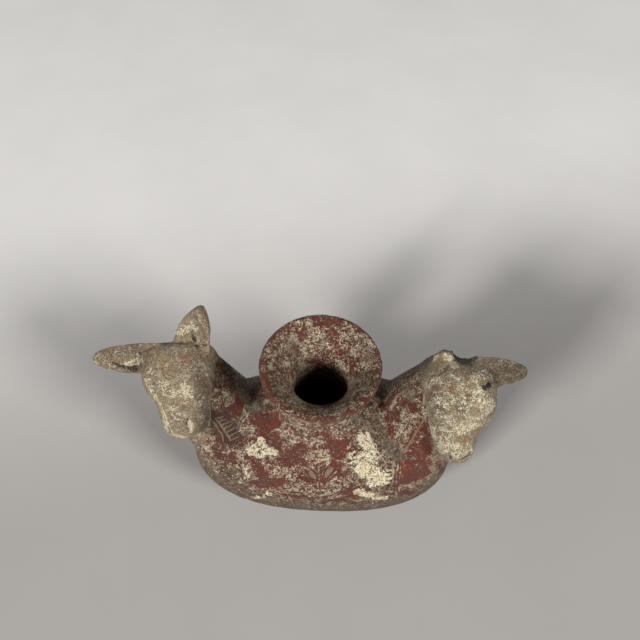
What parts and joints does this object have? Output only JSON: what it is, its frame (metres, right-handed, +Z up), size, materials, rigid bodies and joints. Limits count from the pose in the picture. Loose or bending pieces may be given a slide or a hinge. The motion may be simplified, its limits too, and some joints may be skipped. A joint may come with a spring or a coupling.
{
  "type": "two-headed zoomorphic terracotta vase",
  "caption": "Hollow loaf-shaped clay vessel with a trumpet mouth and a calf's head on a neck at each end, incised fern, palmette and ladder bands, worn red slip under pale crust",
  "frame": {"origin": "on the resting face, under the middle of the body's length and width", "axes": "+X along the body towards the head that stands on the right in the picture, +Z up out of the mouth, the heads look towards -Y"},
  "size_m": [0.2539, 0.0908, 0.1516],
  "materials": {
    "terracotta": "matt fired clay with worn red slip, grey-beige burial deposit and cream lime crust"
  },
  "bodies": {
    "root": {"vase": "terracotta"}
  },
  "joints": []
}
